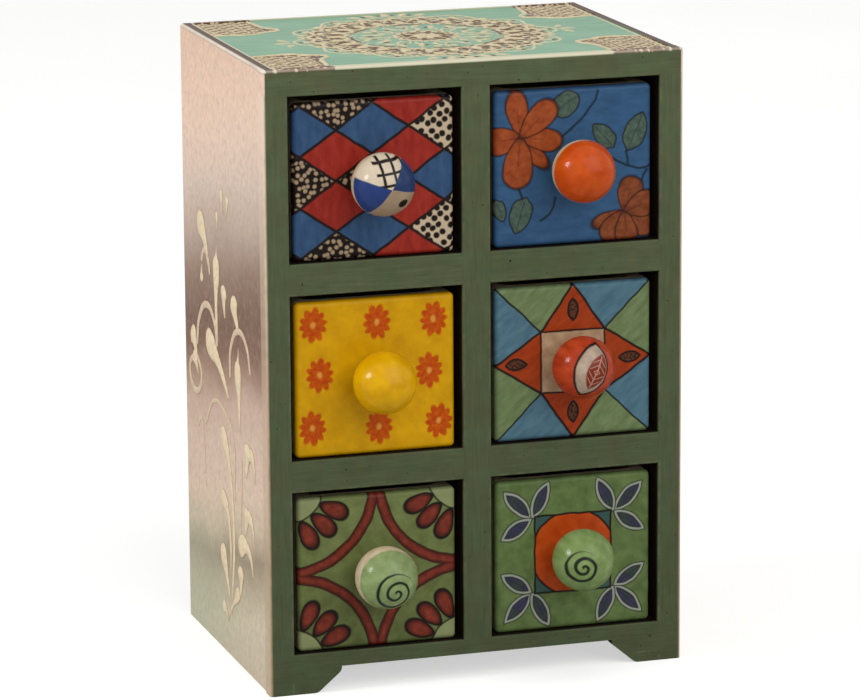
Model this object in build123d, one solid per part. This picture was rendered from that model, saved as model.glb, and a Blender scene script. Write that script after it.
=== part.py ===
"""A small painted wooden chest with six ceramic drawers, two columns of three.

The carcass is a box of boards: two sides that reach the floor, a top that covers them, a bottom, a
back, an upright divider and four short shelves housed in grooves. Strips face the front edges of the
boards and stand a little proud of the sides, and two shaped feet stand under the bottom strip. Each
drawer is a cast ceramic tray that slides on the board below it. Its ceramic knob holds a cemented
stud, which a washer and a nut pull tight from inside the tray.

Millimetres, +Z up, front towards -Y. The origin is under the middle of the whole chest, knobs
included, on the surface that it stands on.
"""

import os
from math import atan2, isclose, sqrt, tan

from build123d import *

# Cabinet, outside
CABINET_WIDTH = 155.0
CABINET_DEPTH = 115.0
CABINET_HEIGHT = 225.0

# Boards
TOP_THICKNESS = 9.6
SIDE_THICKNESS = 9.0
DIVIDER_THICKNESS = 10.5
SHELF_THICKNESS = 11.4
BOTTOM_THICKNESS = 5.4
BACK_THICKNESS = 4.0
BACK_INSET = 1.2
SIDE_INSET = 0.6
GROOVE_DEPTH = 2.5

# Painted top: a raised border round a slightly lower field
BORDER_WIDTH = 3.4
FIELD_SINK = 0.4

# Front strips and feet
STRIP_DEPTH = 6.0
FOOT_HEIGHT = 9.2
FOOT_WIDTH = 26.5
FOOT_FLAT = 17.5
FOOT_STEP = 1.6
FOOT_CURVE = 3.2
FOOT_NOSE_SHARE = 0.82

# Rubbed outer corners of the cabinet, and the lighter easing of the edges round the drawers
CORNER_ROUND = 1.2
EDGE_EASE = 0.45

# Brads that hold the back
BRAD_DIAMETER = 1.4
BRAD_LENGTH = 14.0
BRAD_HEAD_DIAMETER = 3.0
BRAD_HEAD_THICKNESS = 0.7
BRAD_CLEARANCE = 0.05

# Ceramic drawers
DRAWER_RECESS = 2.5
DRAWER_SIDE_GAP = 2.2
DRAWER_TOP_GAP = 3.0
DRAWER_BACK_GAP = 0.5
SLIDE_CLEARANCE = 0.2
DRAWER_WALL = 5.0
DRAWER_FRONT_WALL = 6.0
DRAWER_FLOOR = 5.0
DRAWER_ROUND = 1.8
RIM_ROUND = 1.0
CAVITY_CORNER_RADIUS = 5.0
CAVITY_FLOOR_RADIUS = 3.5

# Ceramic knobs
KNOB_DIAMETER = 22.4
KNOB_NECK_DIAMETER = 14.0
KNOB_NECK_LENGTH = 2.75
KNOB_NECK_FILLET = 1.5

# Knob fixings
STUD_DIAMETER = 4.0
STUD_IN_KNOB = 13.0
STUD_TAIL = 1.6
STUD_CHAMFER = 0.5
CEMENT_GAP = 0.1
FRONT_HOLE_DIAMETER = 5.0
WASHER_DIAMETER = 10.0
WASHER_BORE = 4.4
WASHER_THICKNESS = 1.0
NUT_ACROSS_FLATS = 7.0
NUT_BORE = 4.1
NUT_THICKNESS = 3.2
NUT_CHAMFER = 0.4

# How far a cut runs past the face that it opens, and how close two places are to count as one
OVERRUN = 1.0
SAME_PLACE = 1e-6

ROWS = ("upper", "middle", "lower")

# Depth: the knobs' tips and the back are equally far from the origin
KNOB_STAND_OFF = KNOB_NECK_LENGTH + sqrt(KNOB_DIAMETER**2 - KNOB_NECK_DIAMETER**2) / 2
KNOB_REACH = KNOB_STAND_OFF + KNOB_DIAMETER / 2 - DRAWER_RECESS
FRONT_Y = (KNOB_REACH - CABINET_DEPTH) / 2
REAR_Y = FRONT_Y + CABINET_DEPTH
CARCASS_FRONT_Y = FRONT_Y + STRIP_DEPTH
BACK_REAR_Y = REAR_Y - BACK_INSET
BACK_FRONT_Y = BACK_REAR_Y - BACK_THICKNESS
FACE_Y = FRONT_Y + DRAWER_RECESS

# Width: one opening each side of the divider
HALF_WIDTH = CABINET_WIDTH / 2
HALF_DIVIDER = DIVIDER_THICKNESS / 2
SIDE_OUTER_X = HALF_WIDTH - SIDE_INSET
SIDE_INNER_X = HALF_WIDTH - SIDE_THICKNESS
OPENING_WIDTH = SIDE_INNER_X - HALF_DIVIDER
OPENING_MIDDLE = HALF_DIVIDER + OPENING_WIDTH / 2
COLUMN_X = {"left": -OPENING_MIDDLE, "right": OPENING_MIDDLE}

# Height: equal openings between the sill and the top board, one shelf between each two
SILL_Z = FOOT_HEIGHT + BOTTOM_THICKNESS
TOP_UNDER_Z = CABINET_HEIGHT - TOP_THICKNESS
OPENING_HEIGHT = (TOP_UNDER_Z - SILL_Z - (len(ROWS) - 1) * SHELF_THICKNESS) / len(ROWS)
ROW_PITCH = OPENING_HEIGHT + SHELF_THICKNESS
ROW_FLOOR_Z = {row: SILL_Z + (len(ROWS) - 1 - i) * ROW_PITCH for i, row in enumerate(ROWS)}
SHELF_TOP_Z = {"upper": ROW_FLOOR_Z["upper"], "lower": ROW_FLOOR_Z["middle"]}

# Drawer, outside
DRAWER_WIDTH = OPENING_WIDTH - 2 * DRAWER_SIDE_GAP
DRAWER_HEIGHT = OPENING_HEIGHT - DRAWER_TOP_GAP - SLIDE_CLEARANCE
DRAWER_LENGTH = BACK_FRONT_Y - DRAWER_BACK_GAP - FACE_Y


def block(x_span, y_span, z_span):
    """A box between the low and high coordinates of each span."""
    spans = (x_span, y_span, z_span)
    size = [high - low for low, high in spans]
    return Pos(*[low for low, _ in spans]) * Box(*size, align=(Align.MIN, Align.MIN, Align.MIN))


def rod(diameter, low, high):
    """A round bar on the Z axis."""
    return Pos(0, 0, low) * Cylinder(diameter / 2, high - low, align=(Align.CENTER, Align.CENTER, Align.MIN))


def edges_at(solid, along, **place):
    """The straight edges parallel to an axis whose middles have the given X, Y or Z."""

    def in_place(edge):
        middle = edge.center()
        return all(isclose(getattr(middle, axis), at, abs_tol=SAME_PLACE) for axis, at in place.items())

    return [edge for edge in solid.edges().filter_by(along) if in_place(edge)]


def mirrored(left_solid):
    """The right-hand twin of a piece on the left."""
    return mirror(left_solid, about=Plane.YZ)


def shelf_span_z(level):
    return (SHELF_TOP_Z[level] - SHELF_THICKNESS, SHELF_TOP_Z[level])


# Brads, along Z with the head's underside at zero, then laid in the back board


def brad_places():
    """Into each shelf, into the bottom under each column, and into the divider behind each row."""
    levels = [SHELF_TOP_Z[level] - SHELF_THICKNESS / 2 for level in SHELF_TOP_Z]
    levels.append(SILL_Z - BOTTOM_THICKNESS / 2)
    places = [(x, z) for x in COLUMN_X.values() for z in levels]
    places += [(0, floor + OPENING_HEIGHT / 2) for floor in ROW_FLOOR_Z.values()]
    return [Pos(x, BACK_REAR_Y, z) * Rot(-90, 0, 0) for x, z in places]


def back_brads():
    shank = rod(BRAD_DIAMETER, -BRAD_LENGTH, 0)
    head = rod(BRAD_HEAD_DIAMETER, 0, BRAD_HEAD_THICKNESS)
    brad = shank + head
    return Compound([place * brad for place in brad_places()])


def brad_holes():
    hole = rod(BRAD_DIAMETER + 2 * BRAD_CLEARANCE, -BRAD_LENGTH - BRAD_CLEARANCE, OVERRUN)
    return [place * hole for place in brad_places()]


# Carcass boards


def top_board():
    """The lid: flush with the sides behind and the strips in front, with a border round its lower field."""
    board = block((-SIDE_OUTER_X, SIDE_OUTER_X), (CARCASS_FRONT_Y, REAR_Y), (TOP_UNDER_Z, CABINET_HEIGHT))
    rims = edges_at(board, Axis.Z, Y=REAR_Y) + edges_at(board, Axis.X, Y=REAR_Y, Z=CABINET_HEIGHT)
    board = fillet(rims + edges_at(board, Axis.Y, Z=CABINET_HEIGHT), CORNER_ROUND)
    edge = block((-HALF_WIDTH, HALF_WIDTH), (FRONT_Y, CARCASS_FRONT_Y), (TOP_UNDER_Z, CABINET_HEIGHT))
    edge = fillet(edges_at(edge, Axis.X, Y=FRONT_Y, Z=TOP_UNDER_Z), EDGE_EASE)
    rims = edges_at(edge, Axis.Z, Y=FRONT_Y) + edges_at(edge, Axis.X, Y=FRONT_Y, Z=CABINET_HEIGHT)
    edge = fillet(rims + edges_at(edge, Axis.Y, Z=CABINET_HEIGHT), CORNER_ROUND)
    field_half = SIDE_OUTER_X - BORDER_WIDTH
    field_y = (FRONT_Y + BORDER_WIDTH, REAR_Y - BORDER_WIDTH)
    field_z = (CABINET_HEIGHT - FIELD_SINK, CABINET_HEIGHT + OVERRUN)
    return board + edge - block((-field_half, field_half), field_y, field_z)


def left_side_board():
    """A side that reaches the floor, grooved inside for the shelves and the bottom."""
    board = block((-SIDE_OUTER_X, -SIDE_INNER_X), (CARCASS_FRONT_Y, REAR_Y), (0, TOP_UNDER_Z))
    board = fillet(edges_at(board, Axis.Z, X=-SIDE_OUTER_X, Y=REAR_Y), CORNER_ROUND)
    groove_x = (-SIDE_INNER_X - GROOVE_DEPTH, -SIDE_INNER_X + OVERRUN)
    groove_y = (CARCASS_FRONT_Y - OVERRUN, BACK_FRONT_Y)
    for groove_z in [*map(shelf_span_z, SHELF_TOP_Z), (FOOT_HEIGHT, SILL_Z)]:
        board -= block(groove_x, groove_y, groove_z)
    return board


def centre_divider():
    """The upright between the columns, grooved on both faces for the shelves."""
    board = block((-HALF_DIVIDER, HALF_DIVIDER), (CARCASS_FRONT_Y, BACK_FRONT_Y), (SILL_Z, TOP_UNDER_Z))
    groove_x = (-HALF_DIVIDER - OVERRUN, -HALF_DIVIDER + GROOVE_DEPTH)
    groove_y = (CARCASS_FRONT_Y - OVERRUN, BACK_FRONT_Y + OVERRUN)
    for level in SHELF_TOP_Z:
        groove = block(groove_x, groove_y, shelf_span_z(level))
        board = board - groove - mirrored(groove)
    return board - brad_holes()


def left_shelf(level):
    """A short shelf, let into the side and the divider."""
    shelf_x = (-SIDE_INNER_X - GROOVE_DEPTH, -HALF_DIVIDER + GROOVE_DEPTH)
    return block(shelf_x, (CARCASS_FRONT_Y, BACK_FRONT_Y), shelf_span_z(level)) - brad_holes()


def bottom_board():
    half = SIDE_INNER_X + GROOVE_DEPTH
    return block((-half, half), (CARCASS_FRONT_Y, BACK_FRONT_Y), (FOOT_HEIGHT, SILL_Z)) - brad_holes()


def back_board():
    back_y = (BACK_FRONT_Y, BACK_REAR_Y)
    return block((-SIDE_INNER_X, SIDE_INNER_X), back_y, (FOOT_HEIGHT, TOP_UNDER_Z)) - brad_holes()


# Front strips and feet


def left_stile():
    stile = block((-HALF_WIDTH, -SIDE_INNER_X), (FRONT_Y, CARCASS_FRONT_Y), (SILL_Z, TOP_UNDER_Z))
    stile = fillet(edges_at(stile, Axis.Z, X=-HALF_WIDTH, Y=FRONT_Y), CORNER_ROUND)
    return fillet(edges_at(stile, Axis.Z, X=-SIDE_INNER_X, Y=FRONT_Y), EDGE_EASE)


def centre_stile():
    stile = block((-HALF_DIVIDER, HALF_DIVIDER), (FRONT_Y, CARCASS_FRONT_Y), (SILL_Z, TOP_UNDER_Z))
    return fillet(edges_at(stile, Axis.Z, Y=FRONT_Y), EDGE_EASE)


def left_rail(level):
    rail = block((-SIDE_INNER_X, -HALF_DIVIDER), (FRONT_Y, CARCASS_FRONT_Y), shelf_span_z(level))
    return fillet(edges_at(rail, Axis.X, Y=FRONT_Y), EDGE_EASE)


def bottom_rail():
    rail = block((-HALF_WIDTH, HALF_WIDTH), (FRONT_Y, CARCASS_FRONT_Y), (FOOT_HEIGHT, SILL_Z))
    rail = fillet(edges_at(rail, Axis.X, Y=FRONT_Y, Z=SILL_Z), EDGE_EASE)
    return fillet(edges_at(rail, Axis.Z, Y=FRONT_Y), CORNER_ROUND)


def left_foot():
    """A bracket foot: flat on the floor, then a slope, eased below and with its nose on the step above."""
    outline = Polyline(
        (0, 0),
        (FOOT_FLAT, 0),
        (FOOT_WIDTH, FOOT_HEIGHT - FOOT_STEP),
        (FOOT_WIDTH, FOOT_HEIGHT),
        (0, FOOT_HEIGHT),
        close=True,
    )
    foot = extrude(Plane.XZ * make_face(outline), STRIP_DEPTH)
    foot = fillet(edges_at(foot, Axis.Y, X=FOOT_FLAT, Z=0), FOOT_CURVE)
    slope_lean = atan2(FOOT_WIDTH - FOOT_FLAT, FOOT_HEIGHT - FOOT_STEP)
    nose_radius = FOOT_NOSE_SHARE * FOOT_STEP / tan(slope_lean / 2)
    foot = fillet(edges_at(foot, Axis.Y, X=FOOT_WIDTH, Z=FOOT_HEIGHT - FOOT_STEP), nose_radius)
    foot = fillet(edges_at(foot, Axis.Z, X=0, Y=-STRIP_DEPTH), CORNER_ROUND)
    return Pos(-HALF_WIDTH, CARCASS_FRONT_Y, 0) * foot


# Drawer pieces, with the origin at the middle of the lower edge of the drawer's face


def drawer_tray():
    """An open ceramic tray, rounded inside and out, with a hole for the knob's stud."""
    half = DRAWER_WIDTH / 2
    tray = block((-half, half), (0, DRAWER_LENGTH), (0, DRAWER_HEIGHT))
    tray = fillet(tray.edges(), DRAWER_ROUND)
    cavity = block(
        (-half + DRAWER_WALL, half - DRAWER_WALL),
        (DRAWER_FRONT_WALL, DRAWER_LENGTH - DRAWER_WALL),
        (DRAWER_FLOOR, DRAWER_HEIGHT + OVERRUN),
    )
    cavity = fillet(cavity.edges().filter_by(Axis.Z), CAVITY_CORNER_RADIUS)
    cavity = fillet(cavity.faces().sort_by(Axis.Z)[0].edges(), CAVITY_FLOOR_RADIUS)
    tray -= cavity
    rim = tray.faces().sort_by(Axis.Z)[-1]
    tray = fillet(rim.inner_wires()[0].edges(), RIM_ROUND)
    return tray - on_face(rod(FRONT_HOLE_DIAMETER, -DRAWER_FRONT_WALL - OVERRUN, OVERRUN))


def on_face(turned):
    """A piece turned on Z, laid through the middle of the drawer's face with +Z towards the front."""
    return Pos(0, 0, DRAWER_HEIGHT / 2) * Rot(90, 0, 0) * turned


def knob():
    """A ball on a short neck, bored from behind for the stud."""
    ball = Pos(0, 0, KNOB_STAND_OFF) * Sphere(KNOB_DIAMETER / 2)
    body = ball + rod(KNOB_NECK_DIAMETER, 0, KNOB_STAND_OFF)
    circles = body.edges().filter_by(GeomType.CIRCLE)
    crease = [edge for edge in circles if isclose(edge.center().Z, KNOB_NECK_LENGTH, abs_tol=SAME_PLACE)]
    body = fillet(crease, KNOB_NECK_FILLET)
    return on_face(body - rod(STUD_DIAMETER + 2 * CEMENT_GAP, -OVERRUN, STUD_IN_KNOB + CEMENT_GAP))


def knob_stud():
    tail = DRAWER_FRONT_WALL + WASHER_THICKNESS + NUT_THICKNESS + STUD_TAIL
    stud = rod(STUD_DIAMETER, -tail, STUD_IN_KNOB)
    return on_face(chamfer(stud.edges().filter_by(GeomType.CIRCLE), STUD_CHAMFER))


def knob_washer():
    low = -DRAWER_FRONT_WALL - WASHER_THICKNESS
    washer = rod(WASHER_DIAMETER, low, -DRAWER_FRONT_WALL)
    return on_face(washer - rod(WASHER_BORE, low - OVERRUN, OVERRUN))


def knob_nut():
    """A hexagonal nut with its corners turned off."""
    high = -DRAWER_FRONT_WALL - WASHER_THICKNESS
    low = high - NUT_THICKNESS
    hexagon = RegularPolygon(NUT_ACROSS_FLATS / 2, side_count=6, major_radius=False)
    nut = Pos(0, 0, low) * extrude(hexagon, NUT_THICKNESS)
    turned = rod(NUT_ACROSS_FLATS * 2 / sqrt(3), low, high)
    nut = nut & chamfer(turned.edges().filter_by(GeomType.CIRCLE), NUT_CHAMFER)
    return on_face(nut - rod(NUT_BORE, low - OVERRUN, OVERRUN))


def pieces():
    """Every piece of the chest in its place, by name."""
    named = {
        "top_board": top_board(),
        "left_side_board": left_side_board(),
        "right_side_board": mirrored(left_side_board()),
        "centre_divider": centre_divider(),
        "bottom_board": bottom_board(),
        "back_board": back_board(),
        "back_brads": back_brads(),
        "left_stile": left_stile(),
        "right_stile": mirrored(left_stile()),
        "centre_stile": centre_stile(),
        "bottom_rail": bottom_rail(),
        "left_foot": left_foot(),
        "right_foot": mirrored(left_foot()),
    }
    for level in SHELF_TOP_Z:
        named[f"{level}_left_shelf"] = left_shelf(level)
        named[f"{level}_right_shelf"] = mirrored(left_shelf(level))
        named[f"{level}_left_rail"] = left_rail(level)
        named[f"{level}_right_rail"] = mirrored(left_rail(level))
    drawer_pieces = {
        "drawer": drawer_tray(),
        "knob": knob(),
        "knob_stud": knob_stud(),
        "knob_washer": knob_washer(),
        "knob_nut": knob_nut(),
    }
    for row, floor in ROW_FLOOR_Z.items():
        for column, x in COLUMN_X.items():
            place = Pos(x, FACE_Y, floor + SLIDE_CLEARANCE)
            for name, piece in drawer_pieces.items():
                named[f"{row}_{column}_{name}"] = place * piece
    return named


os.makedirs("parts", exist_ok=True)
for node, solid in pieces().items():
    export_step(solid, f"parts/{node}.step")
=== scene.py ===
"""The looks of a small painted chest with six glazed ceramic drawers.

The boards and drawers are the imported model's own pieces and get painted finishes here. The raised
vines on the sides, the raised ornament on the top and the filler between the front strips are
modelled over them. Sizes are millimetres unless a name says otherwise, and the front faces -Y.
"""

from functools import partialmethod, reduce
from math import atan2, cos, degrees, pi, radians, sin, sqrt

import bmesh
import bpy
from mathutils import Color, Euler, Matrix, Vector


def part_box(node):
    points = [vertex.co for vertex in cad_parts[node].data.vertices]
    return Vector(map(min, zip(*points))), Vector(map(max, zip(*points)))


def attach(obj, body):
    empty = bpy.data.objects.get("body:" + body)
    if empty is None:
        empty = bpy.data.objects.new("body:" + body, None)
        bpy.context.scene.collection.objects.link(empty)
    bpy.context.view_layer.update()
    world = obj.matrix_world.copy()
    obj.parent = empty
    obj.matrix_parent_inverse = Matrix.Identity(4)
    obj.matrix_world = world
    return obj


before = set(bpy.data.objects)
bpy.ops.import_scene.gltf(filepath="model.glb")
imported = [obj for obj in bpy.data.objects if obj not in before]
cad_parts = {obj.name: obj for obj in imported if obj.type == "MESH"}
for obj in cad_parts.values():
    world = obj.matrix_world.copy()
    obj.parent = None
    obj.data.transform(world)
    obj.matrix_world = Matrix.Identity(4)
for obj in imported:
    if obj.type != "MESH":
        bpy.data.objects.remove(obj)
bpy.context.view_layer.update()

MM = 0.001
SIDES = {"left": -1, "right": 1}


def box_mm(node):
    """The lowest and highest corners of a piece of the chest."""
    low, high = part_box(node)
    return low / MM, high / MM


# Places on the chest that the paints follow
TOP_LOW, TOP_HIGH = box_mm("top_board")
HALF_WIDTH = TOP_HIGH.x
FRONT_Y = TOP_LOW.y
REAR_Y = TOP_HIGH.y
TOP_MIDDLE_Y = (FRONT_Y + REAR_Y) / 2
CHEST_HEIGHT = TOP_HIGH.z
TOP_UNDER_Z = TOP_LOW.z
SIDE_FACE_X = box_mm("right_side_board")[1].x
OPENING_INNER_X = box_mm("centre_stile")[1].x
OPENING_OUTER_X = box_mm("right_stile")[0].x
STRIP_REAR_Y = box_mm("left_stile")[1].y
SILL_Z = box_mm("bottom_rail")[1].z
SHELF_LOW_Z = box_mm("lower_left_rail")[0].z
ROW_PITCH = box_mm("lower_left_rail")[1].z - SILL_Z
OPENING_HEIGHT = SHELF_LOW_Z - SILL_Z


# A small language for painting with shader nodes


def ink(red, green, blue):
    """A colour as it looks, 0 to 255, turned into the scale that light adds up in."""
    return (*Color((red / 255, green / 255, blue / 255)).from_srgb_to_scene_linear(), 1.0)


def polar(reach, turn, x=0.0, y=0.0):
    """The point at a distance from another, along a direction in degrees."""
    return x + reach * cos(radians(turn)), y + reach * sin(radians(turn))


class Nodes:
    """The nodes of a material, an ornament or the room."""

    def __init__(self, tree):
        self.tree = tree

    def feed(self, socket, value):
        if isinstance(value, Wire):
            self.tree.links.new(value.socket, socket)
        else:
            socket.default_value = value

    def node(self, kind, *inputs, named=(), output=0, **settings):
        """One output of a new node, whose inputs are fed in order or by name."""
        made = self.tree.nodes.new(kind if "Node" in kind else "ShaderNode" + kind)
        for setting, value in settings.items():
            setattr(made, setting, value)
        for socket, value in zip(made.inputs, inputs):
            self.feed(socket, value)
        for name, value in dict(named).items():
            self.feed(made.inputs[name], value)
        return Wire(self, made.outputs[output])


class Wire:
    """One output of a node; arithmetic on wires makes more nodes."""

    def __init__(self, nodes, socket):
        self.nodes = nodes
        self.socket = socket

    def as_place(self):
        return Place(self.nodes, self.socket)

    def node(self, kind, *others, **settings):
        """A node that takes this wire first."""
        return self.nodes.node(kind, self, *others, **settings)

    def math(self, operation, *others, clamp=False):
        return self.node("Math", *others, operation=operation, use_clamp=clamp)

    __add__ = __radd__ = partialmethod(math, "ADD")
    __sub__ = partialmethod(math, "SUBTRACT")
    __mul__ = __rmul__ = partialmethod(math, "MULTIPLY")
    __truediv__ = partialmethod(math, "DIVIDE")
    __abs__ = partialmethod(math, "ABSOLUTE")
    least = partialmethod(math, "MINIMUM")
    most = partialmethod(math, "MAXIMUM")
    whole = partialmethod(math, "ROUND")
    wrapped = partialmethod(math, "FLOORED_MODULO")
    sloped = partialmethod(math, "MULTIPLY_ADD")

    def after(self, operation, first):
        """Arithmetic in which this wire comes second."""
        return self.nodes.node("Math", first, self, operation=operation)

    __rsub__ = partialmethod(after, "SUBTRACT")
    __rtruediv__ = partialmethod(after, "DIVIDE")

    def equals(self, value):
        return self.math("COMPARE", value, 0.5)

    def inside(self, grow=0.0, soft=0.3):
        """1 where a signed distance is below grow, 0 outside, with a soft brush edge."""
        return self.sloped(-1 / soft, 0.5 + grow / soft, clamp=True)

    def above(self, edge, soft):
        """0 below the edge and 1 above it, fading over soft."""
        return self.sloped(1 / soft, 0.5 - edge / soft, clamp=True)

    def pick(self, under, colour):
        """A mask's choice of two paints: the first where it is 0, the other where it is 1."""
        return self.node("Mix", named={6: under, 7: colour}, output=2, data_type="RGBA")

    def ramp(self, stops):
        """Colours along the value's scale, each at its share of it."""
        made = self.node("ValToRGB")
        steps = made.socket.node.color_ramp.elements
        while len(steps) < len(stops):
            steps.new(1.0)
        for step, (at, colour) in zip(steps, stops):
            step.position = at
            step.color = colour
        return made

    def mottled(self, dark, light, spread=0.2):
        """A colour that goes from dark to light as a cloud's value passes one half."""
        return self.ramp(((0.5 - spread, dark), (0.5 + spread, light)))


class Place(Wire):
    """A place on a painted face, in millimetres across and up."""

    def vector(self, operation, *others):
        return self.node("VectorMath", *others, operation=operation).as_place()

    def at(self, x, y, turn=0.0, long=1.0, wide=1.0):
        """The same place seen from a point, along a direction in degrees and in units of a size."""
        view = (x, y, 0), (0, 0, radians(turn)), (long, wide, 1)
        return self.node("Mapping", *view, vector_type="TEXTURE").as_place()

    def folded(self):
        """The same place in the first quarter, so that one drawing serves all four."""
        return self.vector("ABSOLUTE")

    def reach(self):
        return self.node("VectorMath", operation="LENGTH", output="Value")

    def parts(self):
        return [self.node("SeparateXYZ", output=axis) for axis in "XYZ"]

    def bearing(self):
        """The direction of the place from its origin, in degrees."""
        across, up, _ = self.parts()
        return up.math("ARCTAN2", across) * degrees(1)

    def oval(self, x, y, turn, half_long, half_wide, swell=0.0):
        """An oval about a point, wider towards its far end where swell is above zero."""
        along, aside, _ = self.at(x, y, turn, half_long, half_wide).parts()
        bent = along.node("CombineXYZ", aside / (along * swell + 1), 0.0).as_place()
        return (bent.reach() - 1) * min(half_long, half_wide)

    def leaf(self, x, y, turn, half_long, half_wide):
        """A pointed leaf between two arcs, with its middle at a point."""
        radius = (half_long**2 + half_wide**2) / (2 * half_wide)
        arc = self.at(x, y, turn).folded().vector("ADD", (0, radius - half_wide, 0))
        return arc.reach() - radius

    def vein(self, x, y, turn):
        """How far it is to the long axis of a leaf."""
        return abs(self.at(x, y, turn).parts()[1])

    def drop(self, x, y, turn, half_long, half_wide):
        """A leaf with a round base and a pointed tip."""
        base = self.at(*polar(-0.3 * half_long, turn, x, y)).reach() - half_wide
        return self.leaf(x, y, turn, half_long, half_wide).least(base)

    def petal(self, x, y, turn, length, half_wide):
        """A petal that starts at a point and is widest near its tip."""
        half_long = length / 2
        return self.oval(*polar(half_long, turn, x, y), turn, half_long, half_wide, swell=0.35)

    def segment(self, start, end):
        """How far it is to a straight line between two points."""
        run = Vector(end) - Vector(start)
        along = self.at(*start, turn=degrees(atan2(run.y, run.x)))
        held = along.vector("MAXIMUM", (0, 0, 0)).vector("MINIMUM", (run.length, 0, 0))
        return along.vector("SUBTRACT", held).reach()

    def lines(self, *strokes):
        """How far it is to the nearest of some bent lines, each a row of points."""
        pairs = [pair for points in strokes for pair in zip(points, points[1:])]
        return reduce(Wire.least, [self.segment(*pair) for pair in pairs])

    def spiral(self, turns, radius):
        """How far it is to a spiral of so many turns that ends at a radius."""
        pitch = radius / turns
        reach = self.reach()
        phase = (reach / pitch + self.bearing() / 360).wrapped(1)
        return (abs(phase - 0.5) * pitch).most(reach - radius)

    def wobbled(self, amount, size):
        """A place that strays a little, as a brush does."""
        loose = {"Scale": 1 / size, "Detail": 1.0}
        sway = self.node("TexNoise", named=loose, output="Color").as_place()
        sway = sway.vector("SUBTRACT", (0.5, 0.5, 0.5))
        return self.vector("ADD", sway.vector("MULTIPLY", (amount, amount, 0)))

    def noise(self, size, stretch=(1, 1, 1), detail=3.0, roughness=0.55):
        """A cloud of values about one half, with patches of about a size."""
        scaled = self.vector("MULTIPLY", tuple(1 / (size * part) for part in stretch))
        cloud = {"Scale": 1.0, "Detail": detail, "Roughness": roughness}
        return scaled.node("TexNoise", named=cloud)

    def spots(self, size, disorder=0.75):
        """How far it is to the nearest of some scattered spots, in units of their spacing."""
        scaled = self.vector("MULTIPLY", (1 / size,) * 3)
        cells = {"Scale": 1.0, "Randomness": disorder}
        return scaled.node("TexVoronoi", named=cells, voronoi_dimensions="2D")


class Finish(Nodes):
    """A material under way: a shiny or dull surface, and the paint nodes that feed it."""

    def __init__(self, name, roughness, gloss=0.1):
        self.material = bpy.data.materials.new(name)
        self.material.use_nodes = True
        super().__init__(self.material.node_tree)
        self.surface = self.tree.nodes["Principled BSDF"]
        self.surface.inputs["Roughness"].default_value = roughness
        self.surface.inputs["Specular IOR Level"].default_value = gloss
        metres = self.node("TexCoord", output="Object").as_place()
        self.spot = metres.vector("MULTIPLY", (1 / MM,) * 3)
        self.across, self.depth, self.height = self.spot.parts()

    def face(self, centre):
        """Places on an upright face, across and up from a centre."""
        flat = (self.across - centre.x).node("CombineXYZ", self.height - centre.z, 0.0)
        return flat.as_place()

    def done(self, colour, height=None, rise=0.1, roughness=None):
        """Feeds the paint, the height of its brush marks and its dullness to the surface."""
        self.feed(self.surface.inputs["Base Color"], colour)
        if height is not None:
            marks = {"Strength": 1.0, "Distance": rise * MM, "Height": height}
            self.feed(self.surface.inputs["Normal"], self.node("Bump", named=marks))
        if roughness is not None:
            self.feed(self.surface.inputs["Roughness"], roughness)
        return self.material


class Coats:
    """Coats of paint, each laid over the last."""

    def __init__(self, ground):
        self.colour = ground

    def lay(self, colour, mask):
        """Another coat, where the mask is 1."""
        self.colour = mask.pick(self.colour, colour)

    def outline(self, edge, half_width, soft=0.4):
        """A black brush line where a signed distance is about zero."""
        self.lay(BLACK, abs(edge).inside(half_width, soft))

    def dim(self, level):
        grey = level.node("CombineXYZ", level, level)
        self.colour = self.colour.as_place().vector("MULTIPLY", grey)

    def shade(self, cloud, share):
        """Darker and lighter patches, by up to a share of the colour."""
        self.dim(cloud.sloped(4 * share, 1 - 2 * share))


# Glazes of the drawers

BLACK = ink(26, 18, 15)
CREAM = ink(204, 188, 160)
CREAM_DARK = ink(180, 160, 128)
FACE_PAINT_DEPTH = 3.0


def glaze(unit, name, draw):
    """A drawer's finish: its painted face, and plain cream glaze on its sides and inside."""
    finish = Finish(name, roughness=0.3, gloss=0.12)
    low, high = box_mm(f"{unit}_drawer")
    face = finish.face((low + high) / 2)
    paint = draw(face.wobbled(amount=0.9, size=6.0))
    paint.shade(face.noise(3.4, detail=4.0), 0.07)
    clay = finish.spot.noise(9.0)
    body = (finish.depth + clay * 0.8).above(low.y + FACE_PAINT_DEPTH, 0.5)
    paint.lay(clay.mottled(CREAM_DARK, CREAM), body)
    dull = face.noise(3.0).sloped(0.2, 0.24)
    return finish.done(paint.colour, clay, 0.25, dull)


LOZENGE_HALF_WIDE, LOZENGE_HALF_HIGH = 13.2, 9.05
SPOTS_CHANGE_X = 8


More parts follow.
